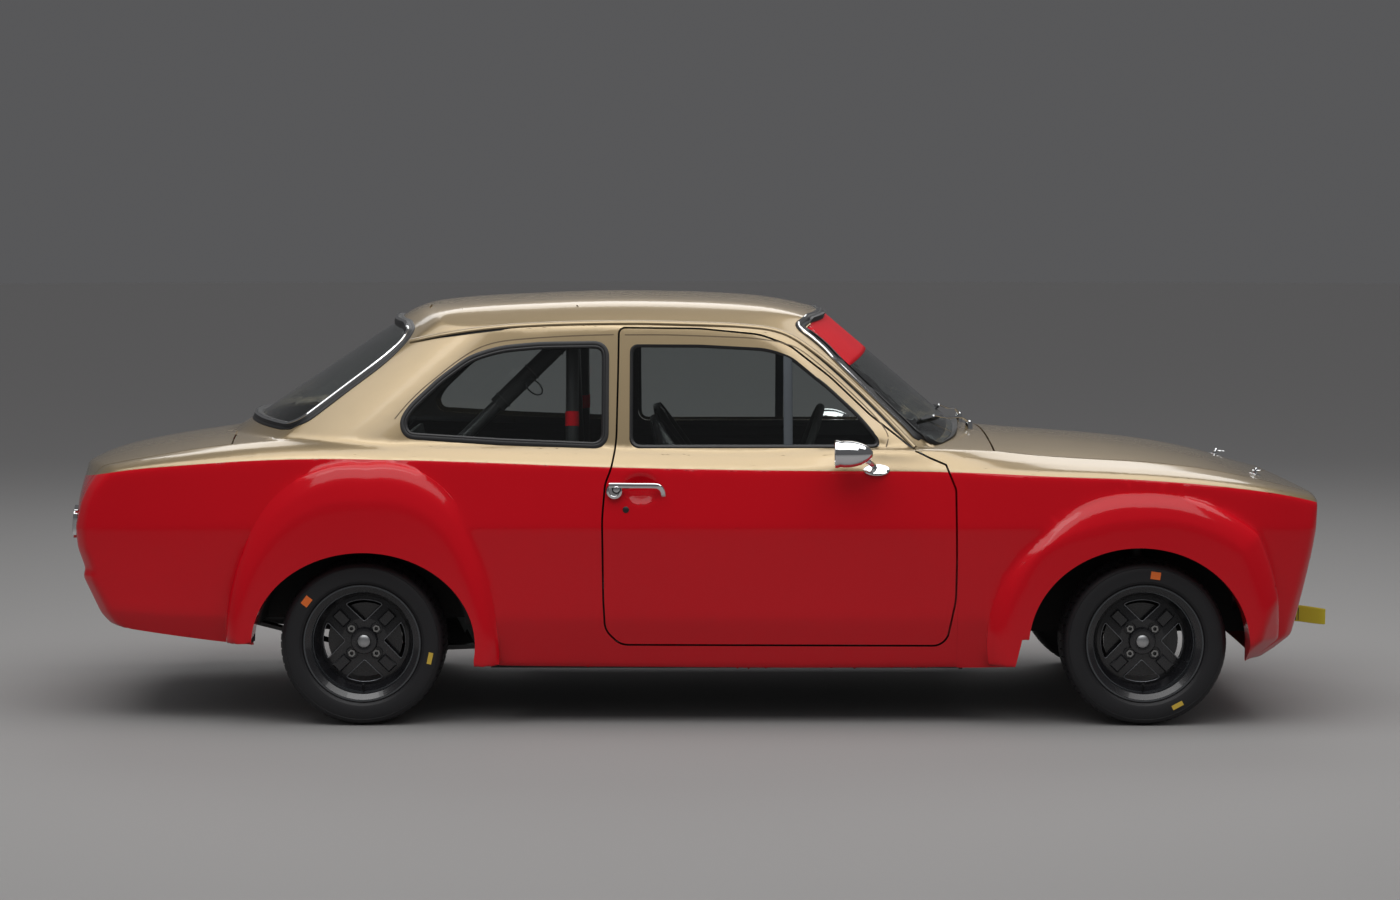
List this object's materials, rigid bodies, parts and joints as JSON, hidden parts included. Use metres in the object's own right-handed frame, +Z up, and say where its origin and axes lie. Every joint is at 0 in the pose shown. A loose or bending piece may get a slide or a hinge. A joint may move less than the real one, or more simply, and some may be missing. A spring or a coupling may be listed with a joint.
{
  "type": "rally car",
  "caption": "Two-door saloon prepared for rallying, with opening doors, bonnet and boot lid, steered front wheels and four turning wheels.",
  "frame": {"origin": "on the floor, at mid length and mid width", "axes": "+X forward, +Y to the car's left, +Z up"},
  "size_m": [3.984, 1.75, 1.319],
  "materials": {
    "gold_paint": "metallic gloss",
    "red_paint": "gloss",
    "glass": "clear",
    "tyre_rubber": "matt",
    "rim_black": "gloss",
    "underseal": "matt",
    "steel_dark": "satin",
    "engine_paint": "satin",
    "chrome": "polished",
    "lamp_glass": "clear",
    "lamp_red": "gloss",
    "grille_black": "matt",
    "cage_black": "satin",
    "seat_cloth": "woven",
    "dash_black": "matt",
    "wheel_grip": "matt",
    "strap_yellow": "woven",
    "alloy": "satin"
  },
  "bodies": {
    "body": {"front_panel": "red_paint", "cowl": "gold_paint", "rear_panel": "red_paint", "rear_deck": "gold_paint", "roof": "gold_paint", "windscreen": "glass", "rear_window": "glass", "quarter_windows": "glass", "side_frame_left": "red_paint", "wing_left": "red_paint", "seat_left": "seat_cloth", "side_frame_right": "red_paint", "wing_right": "red_paint", "seat_right": "seat_cloth", "headlamps": "lamp_glass", "grille": "grille_black", "tail_lamps": "lamp_red", "tow_strap": "strap_yellow", "wipers": "chrome", "floor_pan": "underseal", "front_structure": "underseal", "rear_floor": "underseal", "crossmember": "steel_dark", "engine_block": "engine_paint", "radiator": "alloy", "driveline": "steel_dark", "rear_axle": "steel_dark", "leaf_springs": "steel_dark", "exhaust": "steel_dark", "fuel_tank": "alloy", "roll_cage": "cage_black", "dashboard": "dash_black"},
    "door_left": {"door_left": "red_paint", "door_window_left": "glass", "mirror_left": "chrome", "door_handle_left": "chrome"},
    "knuckle_left": {"strut_left": "steel_dark"},
    "wheel_front_left": {"tyre_front_left": "tyre_rubber", "rim_front_left": "rim_black"},
    "wheel_rear_left": {"tyre_rear_left": "tyre_rubber", "rim_rear_left": "rim_black"},
    "door_right": {"door_right": "red_paint", "door_window_right": "glass", "mirror_right": "chrome", "door_handle_right": "chrome"},
    "knuckle_right": {"strut_right": "steel_dark"},
    "wheel_front_right": {"tyre_front_right": "tyre_rubber", "rim_front_right": "rim_black"},
    "wheel_rear_right": {"tyre_rear_right": "tyre_rubber", "rim_rear_right": "rim_black"},
    "bonnet": {"bonnet": "gold_paint"},
    "boot_lid": {"boot_lid": "gold_paint"},
    "steering_wheel": {"steering_wheel": "wheel_grip"}
  },
  "joints": [
    {"name": "door_left_hinge", "type": "hinge", "parent": "body", "child": "door_left", "pos_m": [0.795, 0.785, 0.5], "axis": [0, 0, -1], "range_deg": [0, 65]},
    {"name": "steer_left", "type": "hinge", "parent": "body", "child": "knuckle_left", "pos_m": [1.3705, 0.6, 0.2], "axis": [0, -0.1465, 0.9892], "range_deg": [-30, 30]},
    {"name": "wheel_front_left_spin", "type": "hinge", "parent": "knuckle_left", "child": "wheel_front_left", "pos_m": [1.3705, 0.655, 0.254], "axis": [0, 1, 0], "continuous": true},
    {"name": "wheel_rear_left_spin", "type": "hinge", "parent": "body", "child": "wheel_rear_left", "pos_m": [-1.0325, 0.655, 0.254], "axis": [0, 1, 0], "continuous": true},
    {"name": "door_right_hinge", "type": "hinge", "parent": "body", "child": "door_right", "pos_m": [0.795, -0.785, 0.5], "axis": [0, 0, 1], "range_deg": [0, 65]},
    {"name": "steer_right", "type": "hinge", "parent": "body", "child": "knuckle_right", "pos_m": [1.3705, -0.6, 0.2], "axis": [0, 0.1465, 0.9892], "range_deg": [-30, 30]},
    {"name": "wheel_front_right_spin", "type": "hinge", "parent": "knuckle_right", "child": "wheel_front_right", "pos_m": [1.3705, -0.655, 0.254], "axis": [0, 1, 0], "continuous": true},
    {"name": "wheel_rear_right_spin", "type": "hinge", "parent": "body", "child": "wheel_rear_right", "pos_m": [-1.0325, -0.655, 0.254], "axis": [0, 1, 0], "continuous": true},
    {"name": "bonnet_hinge", "type": "hinge", "parent": "body", "child": "bonnet", "pos_m": [0.918, 0, 0.875], "axis": [0, -1, 0], "range_deg": [0, 55]},
    {"name": "boot_lid_hinge", "type": "hinge", "parent": "body", "child": "boot_lid", "pos_m": [-1.45, 0, 0.885], "axis": [0, 1, 0], "range_deg": [0, 60]},
    {"name": "steering_wheel_turn", "type": "hinge", "parent": "body", "child": "steering_wheel", "pos_m": [0.33, -0.33, 0.8], "axis": [-0.9398, 0, 0.3418], "range_deg": [-451, 451]}
  ],
  "couplings": [
    {"joint": "steer_right", "follows": "steer_left", "ratio": 1},
    {"joint": "steering_wheel_turn", "follows": "steer_left", "ratio": 15}
  ]
}
